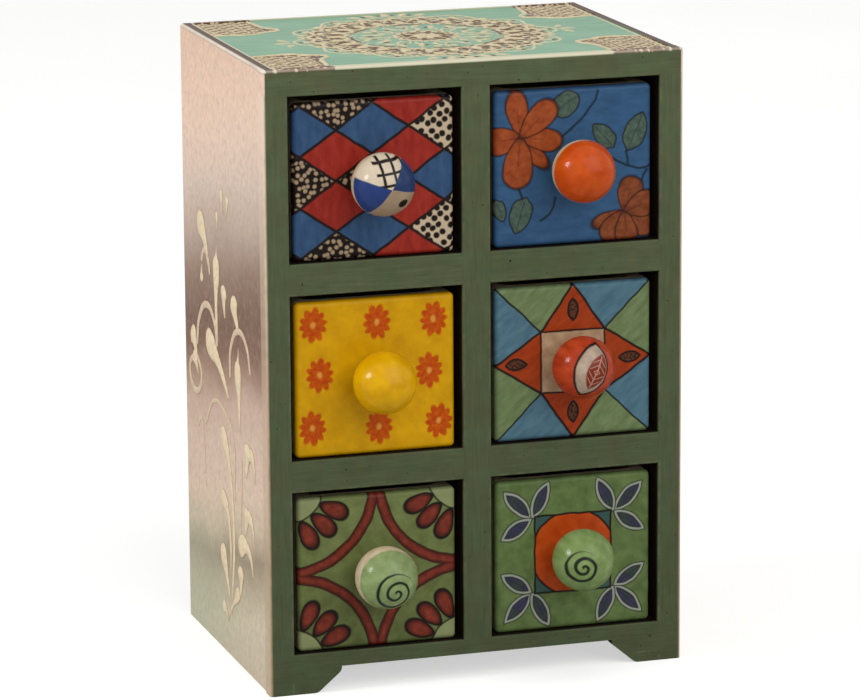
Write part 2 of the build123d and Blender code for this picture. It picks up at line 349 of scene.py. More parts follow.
def harlequin(place):
    """Red, blue and spotted lozenges in black lines."""
    across, up, _ = place.at(-0.4, 0).parts()
    rising = across / (2 * LOZENGE_HALF_WIDE) + up / (2 * LOZENGE_HALF_HIGH)
    falling = across / (2 * LOZENGE_HALF_WIDE) - up / (2 * LOZENGE_HALF_HIGH)
    rising_row, falling_row = rising.whole(), falling.whole()
    column = rising_row + falling_row
    row = abs(rising_row - falling_row)
    lines_per_mm = sqrt(1 / LOZENGE_HALF_WIDE**2 + 1 / LOZENGE_HALF_HIGH**2) / 2
    line = (0.5 - abs(rising - rising_row)).least(0.5 - abs(falling - falling_row)) / lines_per_mm
    blue = abs(row.equals(2) - column.equals(2))
    red = abs(column).equals(1) * (1 - row.equals(3) * column.equals(-1))
    streak = place.noise(3.0, (1, 3, 1))
    pale_spots = place.spots(2.2)
    dark_spots = place.at(0, 0, 35).spots(2.9, disorder=0.4)
    dark_ground = pale_spots.inside(0.33, 0.22).pick(BLACK, ink(168, 144, 116))
    pale_ground = dark_spots.inside(0.39, 0.16).pick(ink(196, 176, 148), BLACK)
    paint = Coats(across.above(SPOTS_CHANGE_X, 8).pick(dark_ground, pale_ground))
    paint.lay(streak.mottled(ink(44, 70, 104), ink(58, 88, 124)), blue)
    paint.lay(streak.mottled(ink(136, 32, 24), ink(160, 50, 38)), red)
    paint.lay(BLACK, line.inside(0.5, 0.5))
    return paint


# Flowers: centre, dark and light paint, and each petal's direction, length and half width
FLOWERS = (
    (
        (-19.6, 11.4),
        (ink(134, 56, 24), ink(166, 82, 42)),
        (
            *((-49, 15.2, 2.6), (97, 16.8, 3.8), (188, 13.0, 4.8)),
            *((-9, 15.7, 3.9), (-95, 18.4, 5.3), (43, 17.6, 4.4)),
        ),
    ),
    (
        (19.4, -17.6),
        (ink(104, 50, 26), ink(142, 76, 44)),
        (
            *((200, 13.0, 2.4), (74, 13.0, 4.4), (-35, 13.2, 4.4)),
            *((-125, 13.0, 4.4), (19, 12.4, 4.4), (-85, 12.6, 4.0)),
        ),
    ),
)
# Leaves: middle, direction, half length and half width
FLORAL_LEAVES = (
    (-2.3, 22.6, 30, 5.0, 4.2),
    (11.6, 10.2, 131, 5.8, 3.3),
    (23.4, 11.0, 67, 7.4, 3.9),
    (-19.6, -16.6, -108, 6.8, 4.0),
    (-27.4, -14.5, -70, 4.2, 2.4),
)
FLORAL_STEMS = (
    ((9.4, 26.5), (8.4, 23.4), (6.2, 20.4), (2.8, 16.4), (-1.2, 12.8), (-4.6, 10.5)),
    ((-6.6, -11.0), (-7.2, -14.4), (-8.8, -17.0), (-12.0, -19.0)),
    ((20.0, 4.2), (20.6, 1.2), (20.7, -0.9)),
    ((14.6, 2.2), (17.4, 0.4), (20.7, -1.0), (24.7, -2.4), (27.2, -2.2), (29.4, -1.2)),
    ((27.6, -3.0), (26.4, -5.2), (25.4, -7.6)),
    ((-20.6, -6.0), (-19.0, -10.6)),
)
PETAL_VEIN = 0.55


def floral_blue(place):
    """Two loose orange flowers with teal leaves on a streaky blue ground."""
    streak = place.noise(3.0, (3, 1, 1))
    paint = Coats(streak.mottled(ink(46, 78, 112), ink(58, 94, 132), 0.25))
    paint.lay(ink(22, 36, 42), place.lines(*FLORAL_STEMS).inside(0.42, 0.5) * 0.9)
    teal = place.noise(2.0).mottled(ink(60, 76, 66), ink(84, 104, 92))
    for x, y, turn, half_long, half_wide in FLORAL_LEAVES:
        leaf = place.drop(x, y, turn, half_long, half_wide)
        vein = place.vein(x, y, turn).most(leaf + 1)
        paint.lay(teal, leaf.inside())
        paint.lay(BLACK, abs(leaf).least(vein + 0.2).inside(0.28, 0.45) * 0.85)
    flush = place.noise(3.0, detail=5.0)
    for (x, y), (dark, light), petals in FLOWERS:
        petal_paint = flush.mottled(dark, light)
        for turn, length, half_wide in petals:
            petal = place.petal(x, y, turn, length, half_wide)
            vein = place.segment((x, y), polar(PETAL_VEIN * length, turn, x, y))
            paint.lay(petal_paint, petal.inside())
            paint.lay(BLACK, abs(petal).least(vein + 0.25).inside(0.3, 0.5) * 0.8)
        paint.lay(ink(70, 30, 20), place.at(x, y).reach().inside(1.6, 3.4) * 0.75)
    return paint


# Stamped flowers: middle, and turn in degrees
STAMPED_FLOWERS = (
    (-22.6, 19.9, 10),
    (0.7, 19.4, 40),
    (21.6, 19.1, 75),
    (-20.4, 1.7, 120),
    (19.9, 0.7, 20),
    (-23.3, -17.3, 60),
    (1.2, -18.4, 95),
    (23.3, -17.9, 150),
)
STAMP_HALF_WIDE, STAMP_HALF_HIGH = 4.9, 6.3
STAMP_TEETH = 10


def flowered_yellow(place):
    """Small jagged orange flowers stamped on a yellow ground."""
    flush = place.noise(8.0)
    paint = Coats(flush.mottled(ink(196, 143, 0), ink(214, 161, 4)))
    rub = place.noise(1.6)
    stamp_paint = rub.mottled(ink(194, 88, 4), ink(178, 62, 2), 0.15)
    for x, y, turn in STAMPED_FLOWERS:
        flower = place.at(x, y, turn)
        teeth = abs((flower.bearing() * radians(STAMP_TEETH / 2)).math("COSINE"))
        reach = flower.at(0, 0, -turn, STAMP_HALF_WIDE, STAMP_HALF_HIGH).reach()
        paint.lay(stamp_paint, (reach - 0.74 - teeth * 0.3).inside(0, 0.16))
        paint.lay(ink(214, 146, 62), (reach * 5).inside(0.9, 0.8))
    return paint


SQUARE_HALF_WIDE, SQUARE_HALF_HIGH = 12.0, 11.2
STAR_TIP_X, STAR_TIP_Y = 29.2, 28.0
STAR_SLOPE = 8
SEED_X, SEED_Y, SEED_SIZE = 21.4, 18.6, (4.3, 2.2)


def star(place):
    """A four-pointed star round a pale square, on a ground of blue and green sectors."""
    across, up, _ = place.parts()
    corner = place.folded()
    far, high, _ = corner.parts()
    side_of_ray = across * up * (high - far * (STAR_TIP_Y / STAR_TIP_X))
    streak = place.at(0, 0, 40).noise(2.4, (4, 1, 1))
    paint = Coats(streak.mottled(ink(90, 108, 66), ink(120, 138, 96), 0.25))
    blue = streak.mottled(ink(66, 98, 116), ink(88, 124, 138), 0.25)
    paint.lay(blue, side_of_ray.above(0, 4.0))
    ray = corner.segment((SQUARE_HALF_WIDE, SQUARE_HALF_HIGH), (STAR_TIP_X, STAR_TIP_Y))
    paint.outline(ray, 0.32)
    above_square = (high - SQUARE_HALF_HIGH) / (STAR_TIP_Y - SQUARE_HALF_HIGH)
    beside_square = (far - SQUARE_HALF_WIDE) / (STAR_TIP_X - SQUARE_HALF_WIDE)
    upright = far / SQUARE_HALF_WIDE + above_square - 1
    level = high / SQUARE_HALF_HIGH + beside_square - 1
    points = upright.least(level) * STAR_SLOPE
    orange = streak.mottled(ink(140, 46, 12), ink(168, 66, 24), 0.25)
    paint.lay(orange, points.inside())
    paint.outline(points, 0.36)
    square = (far - SQUARE_HALF_WIDE).most(high - SQUARE_HALF_HIGH)
    pale = place.noise(4.0).mottled(ink(156, 122, 92), ink(186, 156, 126))
    paint.lay(pale, square.inside())
    paint.outline(square, 0.34)
    seeds = corner.leaf(0, SEED_Y, 90, *SEED_SIZE).least(corner.leaf(SEED_X, 0, 0, *SEED_SIZE))
    kernel = place.noise(0.8).mottled(ink(40, 24, 18), ink(104, 60, 36), 0.1)
    paint.lay(kernel, seeds.inside(0, 0.5))
    paint.outline(seeds + 0.3, 0.35)
    return paint


ARCH_CENTRE, ARCH_RADIUS = 32.0, 31.0
CORNER_DISC_RADIUS = 12.4
CORNER_PETALS_RADIUS = 18.4
CORNER_PETAL_TURNS, CORNER_PETAL_LEAN = (28, 48, 69), 4
CORNER_PETAL_SIZE = (5.6, 3.0)


def arched_green(place):
    """Four arched bands round the knob and three petals in each corner, on green."""
    flush = place.noise(6.0)
    paint = Coats(flush.mottled(ink(92, 99, 55), ink(112, 124, 74)))
    _, up, _ = place.parts()
    # painted shade: the green ground darker towards the bottom of the face
    paint.dim(up.sloped(0.006, 0.95))
    corner = place.folded().at(ARCH_CENTRE, ARCH_CENTRE, 180)
    reach = corner.reach()
    band = abs(reach - ARCH_RADIUS)
    brown = place.noise(3.0).mottled(ink(98, 38, 25), ink(132, 55, 40))
    dark_brown = ink(62, 24, 18)
    paint.lay(BLACK, band.inside(2.1, 0.5))
    paint.lay(dark_brown, band.inside(1.85, 0.4))
    paint.lay(brown, band.inside(1.1, 1.2))
    paint.lay(ink(132, 140, 96), reach.inside(CORNER_DISC_RADIUS, 0.6))
    paint.outline(reach - CORNER_DISC_RADIUS, 0.3, 0.5)
    for turn in CORNER_PETAL_TURNS:
        x, y = polar(CORNER_PETALS_RADIUS, turn)
        petal = corner.oval(x, y, turn - CORNER_PETAL_LEAN, *CORNER_PETAL_SIZE, swell=0.25)
        paint.lay(dark_brown, petal.inside())
        paint.lay(brown, petal.inside(-0.9, 1.2))
        paint.outline(petal, 0.32)
    return paint


# Sprigs: where the leaves meet, each leaf's direction and length, and their width and paint
SPRIG_X, SPRIG_Y = 15.6, 13.8
SPRIG_LEAVES = ((45, 15.0), (116, 14.6), (-33, 13.8))
SPRIG_LEAF_HALF_WIDE = 2.9
SLATE = ((0.4, ink(56, 66, 60)), (0.52, ink(50, 53, 64)), (0.64, ink(58, 55, 84)))
DISC_HALF_SQUARE, DISC_RADIUS = 14.4, 15.8


def leafy_green(place):
    """Three dark leaves in each corner, and an orange disc in a square behind the knob."""
    flush = place.noise(6.0)
    paint = Coats(flush.mottled(ink(78, 96, 52), ink(104, 124, 74)))
    corner = place.folded()
    rub = place.noise(7.0, detail=4.0)
    slate = rub.ramp(SLATE)
    dark = ink(34, 34, 36)
    for turn, length in SPRIG_LEAVES:
        x, y = polar(length / 2, turn, SPRIG_X, SPRIG_Y)
        leaf = corner.leaf(x, y, turn, length / 2, SPRIG_LEAF_HALF_WIDE)
        paint.lay(BLACK, leaf.inside(0.3, 0.4))
        paint.lay(ink(146, 152, 138), leaf.inside(-0.05, 0.35))
        paint.lay(dark, leaf.inside(-0.85, 0.3))
        paint.lay(slate, leaf.inside(-1.2, 0.4))
        vein = corner.vein(x, y, turn).most(leaf + 1.6)
        paint.lay(dark, vein.inside(0.12, 0.35) * 0.7)
    far, high, _ = corner.parts()
    square = far.most(high) - DISC_HALF_SQUARE
    paint.lay(ink(56, 82, 76), square.inside())
    disc = (corner.reach() - DISC_RADIUS).most(square)
    paint.lay(flush.mottled(ink(164, 58, 10), ink(190, 78, 24)), disc.inside())
    paint.outline(abs(disc).least(abs(square)), 0.36)
    return paint


# Glazes of the knobs

BARE_EDGE_WANDER = 1.2


def knob_glaze(unit, name, draw, pale_from):
    """A knob's finish: drawn from its front pole, with bare pale glaze from a depth to the neck."""
    finish = Finish(name, roughness=0.17, gloss=0.15)
    low, high = box_mm(f"{unit}_knob")
    ball_radius = (high.x - low.x) / 2
    face = finish.face((low + high) / 2)
    paint = draw(face.wobbled(amount=0.6, size=4.0))
    paint.shade(finish.spot.noise(3.0, detail=4.0), 0.08)
    depth = finish.depth + finish.spot.noise(4.0) * BARE_EDGE_WANDER
    bare = (depth - low.y - ball_radius).above(pale_from * ball_radius + BARE_EDGE_WANDER / 2, 0.9)
    clay = finish.spot.noise(5.0)
    paint.lay(clay.mottled(CREAM_DARK, CREAM), bare)
    return finish.done(paint.colour, clay, 0.2)


def sector(bearing, start, end):
    """1 between two directions and 0 elsewhere."""
    middle, half = (start + end) / 2, (end - start) / 2
    beyond = abs((bearing - middle + 180).wrapped(360) - 180) - half
    return beyond.inside(0, 3.0)


def grid(value, pitch, shift):
    """How far it is to the middle between two lines of a grid, in units of its pitch."""
    return abs((value / pitch + shift).wrapped(1) - 0.5)


# Patches of the harlequin knob, from one direction to another
CHEQUERED, SHADED, LEFT_BLUE, RIGHT_BLUE = (58, 164), (236, 346), (162, 236), (-14, 60)


def harlequin_knob(place):
    """Two blue patches, a chequered patch, a dark oval and a painted shadow on part of the cream.
    """
    bearing = place.bearing()
    across, up, _ = place.at(0.4, 1.2, 8).parts()
    chequers = grid(across, 4.1, 0.13).least(grid(up, 3.9, 0.4)).inside(0.12, 0.08)
    chequered = sector(bearing, *CHEQUERED) * across.above(-4.8, 0.4)
    shadow = sector(bearing, *SHADED)
    paint = Coats(shadow.pick(ink(206, 190, 166), ink(156, 134, 108)))
    paint.lay(BLACK, chequers * chequered)
    paint.lay(ink(38, 58, 112), sector(bearing, *LEFT_BLUE))
    paint.lay(ink(36, 56, 96), sector(bearing, *RIGHT_BLUE))
    paint.lay(BLACK, place.oval(4.6, -5.4, 25, 2.0, 1.4).inside())
    return paint


def plain_knob(dark, light):
    def draw(place):
        return Coats(place.noise(6.0).mottled(dark, light))

    return draw


KNOB_LEAF, KNOB_LEAF_SIZE = (-0.6, 0.9, 70), (9.4, 5.8)
HEART, HEART_SIZE = (1.1, 0.4, 64), (6.6, 3.5)


def leaf_knob(place):
    """A pale leaf with a red heart on red-orange."""
    flush = place.noise(4.0)
    paint = Coats(flush.mottled(ink(150, 44, 16), ink(182, 68, 34)))
    leaf = place.leaf(*KNOB_LEAF, *KNOB_LEAF_SIZE)
    paint.lay(flush.mottled(ink(150, 128, 110), ink(186, 166, 146)), leaf.inside())
    paint.outline(leaf, 0.34)
    heart = place.leaf(*HEART, *HEART_SIZE)
    paint.lay(ink(124, 44, 30), heart.inside(0, 0.5))
    along, aside, _ = place.at(*HEART).folded().parts()
    veins = grid(along + aside * 0.8, 1.9, 0).least(aside * 0.4).inside(0.08, 0.08)
    paint.lay(ink(176, 140, 118), veins * heart.inside(-0.5, 0.4))
    return paint


def spiral_knob(dark, light, x, y, radius, turns, half_line):
    """A dark spiral on green."""

    def draw(place):
        paint = Coats(place.noise(4.0).mottled(dark, light))
        line = place.at(x, y).spiral(turns, radius)
        paint.lay(ink(30, 36, 26), line.inside(half_line, 0.4))
        return paint

    return draw


# Paints of the carcass

STAIN_DARK = ink(28, 20, 16)
STAIN_LIGHT = ink(64, 44, 32)
SAGE_DARK = ink(74, 84, 57)
SAGE_LIGHT = ink(88, 100, 72)
# Painted shade of the green paint: its level at the floor, and what it gains up to the top
SAGE_SHADE_AT_FLOOR, SAGE_SHADE_GAIN = 0.8, 0.26


def grain(finish, stretch, size):
    return finish.spot.noise(size, stretch, detail=4.0, roughness=0.6)


def lengthwise(along, stretch):
    """How much a pattern is drawn out on each axis, for a board that runs along one of them."""
    return tuple(stretch if axis == along else 1 for axis in "xyz")


def stain(finish, along):
    """Dark stain over wood, for all that the drawers hide, and the wood's grain."""
    fibre = grain(finish, lengthwise(along, 26), 0.8)
    paint = Coats(fibre.mottled(STAIN_DARK, STAIN_LIGHT))
    paint.shade(finish.spot.noise(16.0, lengthwise(along, 5)), 0.2)
    return paint.colour, fibre


def sage(finish, along):
    """Rubbed green paint with dark specks and painted shade, darker towards the floor, and its
    brush marks.
    """
    brushed = grain(finish, lengthwise(along, 14), 0.9)
    paint = Coats(brushed.mottled(SAGE_DARK, SAGE_LIGHT, 0.3))
    paint.lay(ink(92, 84, 60), finish.spot.noise(12.0).above(0.56, 0.3) * 0.4)
    paint.shade(finish.spot.noise(7.0), 0.1)
    speck = finish.spot.noise(1.7, detail=2.0)
    paint.lay(ink(34, 34, 24), speck.above(0.73, 0.06))
    # painted shade, darker towards the floor
    paint.dim(finish.height.sloped(SAGE_SHADE_GAIN / CHEST_HEIGHT, SAGE_SHADE_AT_FLOOR))
    return paint, brushed


# Colours up the side, each at its share of the reach: mauve-brown paint with painted reflection,
# cream high up and low down, and painted shadow bands
SIDE_BANDS_REACH = 245.0
SIDE_BANDS_SLANT = 0.18
SIDE_BANDS_DRIFT = 14
SIDE_BANDS_WITH_PAINTED_LIGHT = (
    (0.04, ink(204, 190, 167)),
    (0.1, ink(206, 195, 170)),
    (0.155, ink(182, 168, 143)),
    (0.195, ink(154, 140, 117)),
    (0.235, ink(202, 185, 160)),
    (0.29, ink(218, 195, 173)),
    (0.37, ink(212, 187, 168)),
    (0.43, ink(200, 172, 154)),
    (0.47, ink(166, 136, 117)),
    (0.51, ink(129, 100, 82)),
    (0.555, ink(120, 94, 77)),
    (0.62, ink(146, 122, 105)),
    (0.69, ink(188, 167, 152)),
    (0.755, ink(214, 193, 177)),
    (0.82, ink(230, 203, 183)),
    (0.9, ink(233, 202, 179)),
    (1.0, ink(226, 194, 169)),
)


def side_colour_with_painted_light(finish):
    """Cream, mauve and beige bands that melt into each other up the side, lower at the back:
    mauve-brown paint under painted reflection and painted shadow bands, and a pale green painted
    reflection low down.
    """
    drift = finish.spot.noise(26.0, detail=2.0)
    level = finish.height + (finish.depth - FRONT_Y) * SIDE_BANDS_SLANT + (drift - 0.5) * SIDE_BANDS_DRIFT
    paint = Coats((level / SIDE_BANDS_REACH).ramp(SIDE_BANDS_WITH_PAINTED_LIGHT))
    # painted reflection: a pale green tint low down, stronger towards the back
    shadow = finish.spot.noise(12.0, (1, 3, 0.6))
    green = (finish.height + shadow * 16).inside(42, 36) * finish.depth.above(12, 70)
    paint.lay(ink(178, 186, 158), green * 0.6)
    speckle = finish.spot.noise(1.7, (1, 1, 1.3), detail=5.0)
    paint.shade(speckle, 0.12)
    blush = finish.spot.noise(3.2).above(0.58, 0.2)
    paint.lay(ink(178, 150, 142), blush * 0.3)
    paint.shade(grain(finish, lengthwise("z", 16), 1.0), 0.02)
    return paint.colour, speckle


SIDE_COLOUR_DEPTH = 1.4
SIDE_COLOUR_EDGE = 0.35
STAINED_FROM = 0.9
# Pale worn front edge of the sides, with painted shade darker towards the floor
WORN_EDGE_AND_SHADE = ((0.0, ink(176, 150, 122)), (0.5, ink(196, 170, 146)), (1.0, ink(238, 216, 196)))


def side_paint(name):
    """A side board: its paint with painted reflection and shadow outside, stained inside and
    behind.
    """
    finish = Finish(name, roughness=0.5)
    side_colour_and_light, speckle = side_colour_with_painted_light(finish)
    wood, _ = stain(finish, "z")
    outside = abs(finish.across).above(SIDE_FACE_X - SIDE_COLOUR_DEPTH, 0.4)
    return finish.done(outside.pick(wood, side_colour_and_light), speckle, 0.08)


def front_paint(name, along):
    """A front strip: green on its face, dark in the openings, and on the chest's side the side's
    paint with its painted reflection and shadow.
    """
    finish = Finish(name, roughness=0.52)
    paint, brushed = sage(finish, along)
    far = abs(finish.across)
    bay_height = (finish.height - SILL_Z).wrapped(ROW_PITCH)
    reveal = (far - OPENING_INNER_X).least(OPENING_OUTER_X - far)
    reveal = reveal.least(bay_height.least(OPENING_HEIGHT - bay_height))
    rub = finish.spot.noise(4.0)
    arris = abs(reveal + 0.5).inside(0.35, 0.5) * rub.above(0.55, 0.2)
    paint.lay(ink(106, 114, 86), arris * 0.5)
    behind = finish.depth.above(FRONT_Y + STAINED_FROM, 0.6)
    paint.lay(STAIN_DARK, behind * far.inside(HALF_WIDTH - 2.5, 0.5))
    side_colour_and_light, _ = side_colour_with_painted_light(finish)
    paint.lay(side_colour_and_light, far.above(HALF_WIDTH - SIDE_COLOUR_EDGE, 0.3))
    # a pale worn edge, with painted shade darker towards the floor
    worn = abs(far - HALF_WIDTH + 0.4).inside(0.45, 0.7) * rub.sloped(0.7, 0.5, clamp=True)
    paint.lay((finish.height / CHEST_HEIGHT).ramp(WORN_EDGE_AND_SHADE), worn)
    return finish.done(paint.colour, brushed, 0.06)


# Layout of the painted top, from its middle
BORDER_WIDTH = 3.4
FIELD_SINK = 0.4
TOP_END_X = SIDE_FACE_X - BORDER_WIDTH
TOP_END_Y = (REAR_Y - FRONT_Y) / 2 - BORDER_WIDTH
CORNER_REACH_X, CORNER_REACH_Y = 22.4, 29.5
CORNER_SQUARENESS = 8.0
HORN_X, HORN_Y, HORN_REACH = 22.2, 22.4, 3.8
HEART_RADIUS = 12.0
BAND_INNER, BAND_OUTER = 27.5, 44.0
BAND_MIDDLE, BAND_HALF = (BAND_INNER + BAND_OUTER) / 2, (BAND_OUTER - BAND_INNER) / 2


def top_field(finish, brushed):
    """The top's upper face: mint, with brown under the ornament, in the corners and at the ends."""
    back = finish.depth - TOP_MIDDLE_Y
    flat = finish.across.node("CombineXYZ", back, 0.0).as_place()
    end_away = TOP_END_X - abs(finish.across)
    edge_away = TOP_END_Y - abs(back)
    paint = Coats(brushed.mottled(ink(114, 154, 128), ink(142, 180, 153), 0.25))
    paint.shade(finish.spot.noise(22.0), 0.08)
    reach = flat.reach()
    filigree = (abs(reach - BAND_MIDDLE) - BAND_HALF).least(reach - HEART_RADIUS)
    rub = flat.noise(2.4, detail=4.0)
    ground = (filigree + (rub - 0.5) * 5).inside(0, 1.5) * rub.above(0.4, 0.16)
    paint.lay(ink(108, 80, 56), ground)
    dabs = flat.wobbled(amount=3.0, size=2.0).spots(2.4).inside(0.3, 0.2)
    paint.lay(ink(204, 196, 156), dabs * filigree.inside(2, 2.0))
    speckle = flat.wobbled(amount=2.0, size=2.0).spots(2.2)
    brown = speckle.inside(0.26, 0.2).pick(ink(96, 70, 52), ink(208, 186, 158))
    paint.lay(ink(200, 198, 168), edge_away.inside(0, 0.4))
    corner = (end_away / CORNER_REACH_X).math("POWER", CORNER_SQUARENESS)
    corner = corner + (edge_away / CORNER_REACH_Y).math("POWER", CORNER_SQUARENESS)
    horn = abs(end_away - HORN_X) + abs(edge_away - HORN_Y) - HORN_REACH
    paint.lay(brown, corner.inside(1, 0.2).most(horn.inside()))
    stripe = brushed.mottled(ink(62, 46, 38), ink(94, 72, 58))
    paint.lay(stripe, end_away.inside(0, 0.4))
    paint.lay(ink(206, 200, 170), abs(end_away - 0.9).inside(0.5))
    return paint


def top_paint(name):
    """The top board: a painted field, a green front with painted shade, the side's paint with
    painted reflection and shadow at its ends, and worn edges.
    """
    finish = Finish(name, roughness=0.46)
    far = abs(finish.across)
    brushed = grain(finish, lengthwise("x", 14), 1.0)
    paint = top_field(finish, brushed)
    green, _ = sage(finish, "x")
    down = CHEST_HEIGHT - finish.height
    below = down.above(1.0, 0.5)
    paint.lay(green.colour, below)
    side_colour_and_light, _ = side_colour_with_painted_light(finish)
    paint.lay(side_colour_and_light, below * far.above(SIDE_FACE_X - SIDE_COLOUR_EDGE, 0.3))
    wear = finish.spot.noise(14.0).sloped(0.8, 0.4, clamp=True)
    end_edge = (SIDE_FACE_X - far).most(down).inside(0.9, 0.5)
    front_edge = (finish.depth - FRONT_Y).most(down).inside(0.8, 0.5)
    paint.lay(ink(236, 222, 204), end_edge.most(front_edge * 0.4) * wear)
    inner = far.inside(OPENING_OUTER_X) * finish.depth.above(FRONT_Y + STAINED_FROM, 0.3)
    paint.lay(STAIN_DARK, finish.height.inside(TOP_UNDER_Z + 0.15, 0.1) * inner)
    return finish.done(paint.colour, brushed, 0.08)


def stained_wood(name, along):
    finish = Finish(name, roughness=0.6)
    return finish.done(*stain(finish, along), 0.12)


def steel(name):
    finish = Finish(name, roughness=0.34, gloss=0.5)
    finish.surface.inputs["Metallic"].default_value = 1.0
    scratch = grain(finish, lengthwise("y", 12), 0.3)
    colour = scratch.mottled(ink(132, 132, 130), ink(190, 190, 186))
    return finish.done(colour, scratch, 0.02)


def rubbed(name, dark, light):
    """A finish for thick ornament paint, its colour and the patches where it is rubbed."""
    finish = Finish(name, roughness=0.42)
    rub = finish.spot.noise(2.2, detail=4.0)
    return finish, rub.mottled(dark, light), rub


def raised_paint(name, dark, light):
    finish, colour, rub = rubbed(name, dark, light)
    return finish.done(colour, rub, 0.08)


def vine_paint(name, edge, dark, light, relief):
    """Thick paint on the vines, darker at its edges with antiquing wash and painted shade of the
    relief, and with its relief made plainer.
    """
    finish, colour, _ = rubbed(name, dark, light)
    rise = abs(finish.across) - SIDE_FACE_X
    return finish.done(rise.above(0.07, 0.14).pick(edge, colour), rise, relief)


# Raised ornament, swept along strokes


def add_object(name, data):
    made = bpy.data.objects.new(name, data)
    bpy.context.scene.collection.objects.link(made)
    return made


def add_to_cabinet(name, mesh):
    piece = add_object(name, mesh)
    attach(piece, "cabinet")


ORNAMENT_INPUTS = {
    "Strokes": "Geometry",
    "Copies": "Int",
    "Flatten": "Vector",
    "Move to": "Vector",
    "Step": "Float",
    "Paint": "Material",
}
SECTION_SIDES = 14
HEAD_REACH = 6.0
TAIL_START = 0.7


def ornament_tree(name, swell, round_head=False):
    """Sweeps strokes with a round section that swells and thins, turns copies and flattens them.

    A round head keeps its length in half widths however long its stroke is.
    """
    tree = bpy.data.node_groups.new(name, "GeometryNodeTree")
    for socket, kind in ORNAMENT_INPUTS.items():
        tree.interface.new_socket(socket, in_out="INPUT", socket_type="NodeSocket" + kind)
    tree.interface.new_socket("Ornament", in_out="OUTPUT", socket_type="NodeSocketGeometry")
    nodes = Nodes(tree)
    given = {socket: nodes.node("NodeGroupInput", output=socket) for socket in ORNAMENT_INPUTS}

    def add(kind, **links):
        """The first output of a geometry node, whose inputs are named with underscores."""
        named = {socket.replace("_", " "): source for socket, source in links.items()}
        return nodes.node("GeometryNode" + kind, named=named)

    share = nodes.node("GeometryNodeSplineParameter", output="Factor")
    half_width = add("InputRadius")
    if round_head:
        length = nodes.node("GeometryNodeSplineParameter", output="Length")
        widths_along = length / half_width
        share = share.most((widths_along / HEAD_REACH).least(TAIL_START))
    shape = nodes.node("FloatCurve", named={"Value": share})
    mapping = shape.socket.node.mapping
    points = mapping.curves[0].points
    while len(points) < len(swell):
        points.new(0.5, 0.5)
    for point, place in zip(points, swell):
        point.location = place
    mapping.update()
    thick = shape * half_width
    if round_head:
        to_go = widths_along.sloped(-1, 1, clamp=True)
        thick = thick * (1 - to_go * to_go).math("POWER", 0.5)
    even = {"Curve": given["Strokes"], "Length": given["Step"]}
    strokes = nodes.node("GeometryNodeResampleCurve", mode="LENGTH", named=even)
    section = add("CurvePrimitiveCircle", Resolution=SECTION_SIDES, Radius=1.0)
    swept = add("CurveToMesh", Curve=strokes, Profile_Curve=section, Scale=thick, Fill_Caps=True)
    smooth = swept.node("GeometryNodeSetShadeSmooth")
    turn = add("InputIndex") * (2 * pi / given["Copies"])
    spin = nodes.node("CombineXYZ", named={"Z": turn})
    seats = add("Points", Count=given["Copies"])
    copies = add("InstanceOnPoints", Points=seats, Instance=smooth, Rotation=spin)
    whole = copies.node("GeometryNodeRealizeInstances")
    moved = add("Transform", Geometry=whole, Translation=given["Move to"], Scale=given["Flatten"])
    painted = add("SetMaterial", Geometry=moved, Material=given["Paint"])
    nodes.feed(tree.nodes.new("NodeGroupOutput").inputs["Ornament"], painted)
    return tree


# Widths along a stroke, each at its share of the length
DROP_SWELL = ((0.0, 1.0), (0.24, 1.0), (0.4, 0.76), (0.55, 0.52), (0.7, 0.42), (1.0, 0.18))
CORD_SWELL = ((0.0, 0.3), (0.04, 0.9), (0.5, 1.0), (0.96, 0.9), (1.0, 0.3))
PETAL_SWELL = ((0.0, 0.12), (0.2, 0.62), (0.5, 1.0), (0.8, 0.66), (1.0, 0.08))
DROP = ornament_tree("drop_strokes", DROP_SWELL, round_head=True)
CORD = ornament_tree("line_strokes", CORD_SWELL)
PETAL = ornament_tree("petal_strokes", PETAL_SWELL)


def raised(name, strokes, tree, slot, **values):
    """A piece of raised ornament on the cabinet, from strokes of a half width and points."""
    curve = bpy.data.curves.new(name, "CURVE")
    curve.dimensions = "3D"
    for half_width, points in strokes:
        spline = curve.splines.new("BEZIER")
        spline.bezier_points.add(len(points) - 1)
        for knot, point in zip(spline.bezier_points, points):
            knot.co = Vector(point).to_3d() * MM
            knot.radius = half_width * MM
            knot.handle_left_type = knot.handle_right_type = "AUTO"
    drawing = add_object(name + ".strokes", curve)
    modifier = drawing.modifiers.new("ornament", "NODES")
    modifier.node_group = tree
    for item in tree.interface.items_tree:
        value = values.get(item.name.lower().replace(" ", "_"))
        if value is not None:
            modifier[item.identifier] = value
    graph = bpy.context.evaluated_depsgraph_get()
    mesh = bpy.data.meshes.new_from_object(drawing.evaluated_get(graph), depsgraph=graph)
    bpy.data.objects.remove(drawing)
    mesh.name = name
    add_to_cabinet(name, mesh)


